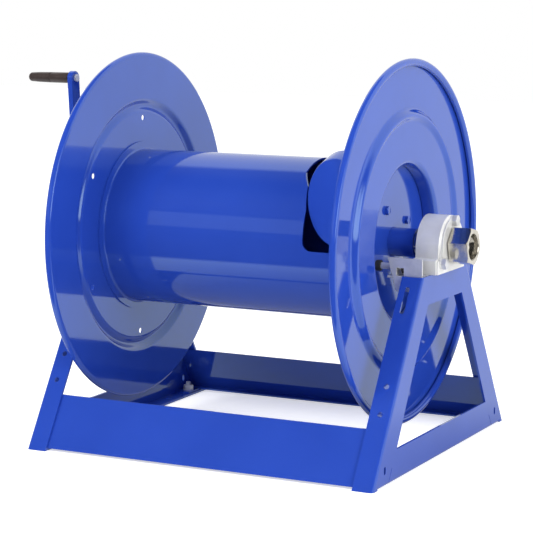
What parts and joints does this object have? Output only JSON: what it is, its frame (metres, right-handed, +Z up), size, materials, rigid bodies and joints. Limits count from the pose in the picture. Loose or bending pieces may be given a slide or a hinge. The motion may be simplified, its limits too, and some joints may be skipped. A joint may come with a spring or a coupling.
{
  "type": "fire hose reel",
  "caption": "Hand-cranked hose reel on a folded A-frame: open drum between two stamped discs, hex water inlet on one end, crank with a turning grip on the other.",
  "frame": {"origin": "centre of the four anchor holes, on the underside of the end frames, where the reel stands", "axes": "+X along the drum's shaft towards the water inlet, +Y towards the back, +Z up"},
  "size_m": [0.8521, 0.615, 0.6634],
  "materials": {
    "paint": "gloss blue powder coat",
    "cast_aluminium": "machined and tumbled casting",
    "plated": "bright nickel plate",
    "steel": "bright zinc plate",
    "bronze": "sintered bronze",
    "grip": "satin moulded",
    "rubber": "matte"
  },
  "bodies": {
    "frame": {"left_end_frame": "paint", "right_end_frame": "paint", "front_rail": "paint", "rear_rail": "paint", "frame_studs": "steel", "frame_washers": "steel", "frame_nuts": "steel", "left_bearing_bracket": "steel", "right_bearing_bracket": "steel", "left_bearing_housing": "cast_aluminium", "right_bearing_housing": "cast_aluminium", "housing_bolts": "steel", "left_bushing": "bronze", "right_bushing": "bronze", "left_retainer": "cast_aluminium", "right_retainer": "cast_aluminium", "retainer_bolts": "steel", "retainer_washers": "steel"},
    "drum": {"drum_shell": "paint", "left_disc": "paint", "right_disc": "paint", "left_bulkhead": "paint", "right_bulkhead": "paint", "left_hub_flange": "paint", "right_hub_flange": "paint", "hub_bolts": "paint", "hub_nuts": "paint", "riser_hood": "paint", "inlet_pipe": "paint", "swivel_journal": "plated", "snap_ring": "steel", "riser_elbow": "paint", "riser_pipe": "paint", "hose_outlet": "plated", "stub_shaft": "steel", "crank_hub": "paint", "crank_set_screw": "steel", "crank_arm": "paint", "grip_spindle": "steel", "grip_washer": "steel"},
    "crank_grip": {"crank_grip": "grip"},
    "inlet_swivel": {"inlet_swivel": "plated", "inlet_seal": "rubber"},
    "brake_pad": {"brake_pad": "rubber"},
    "brake_screw": {"brake_screw": "steel", "brake_knob": "grip"}
  },
  "joints": [
    {"name": "drum_spin", "type": "hinge", "parent": "frame", "child": "drum", "pos_m": [0, 0, 0.356], "axis": [1, 0, 0], "continuous": true},
    {"name": "grip_spin", "type": "hinge", "parent": "drum", "child": "crank_grip", "pos_m": [-0.44, -0.02184, 0.61608], "axis": [1, 0, 0], "continuous": true},
    {"name": "inlet_spin", "type": "hinge", "parent": "drum", "child": "inlet_swivel", "pos_m": [0.35, 0, 0.356], "axis": [1, 0, 0], "continuous": true},
    {"name": "brake_travel", "type": "slide", "parent": "frame", "child": "brake_pad", "axis": [-1, 0, 0], "range_m": [0, 0.004]},
    {"name": "brake_turn", "type": "hinge", "parent": "brake_pad", "child": "brake_screw", "pos_m": [0.27, -0.077, 0.326], "axis": [1, 0, 0], "range_deg": [0, 822.9]}
  ],
  "couplings": [
    {"joint": "brake_turn", "follows": "brake_travel", "rad_per_m": 3590.4}
  ]
}
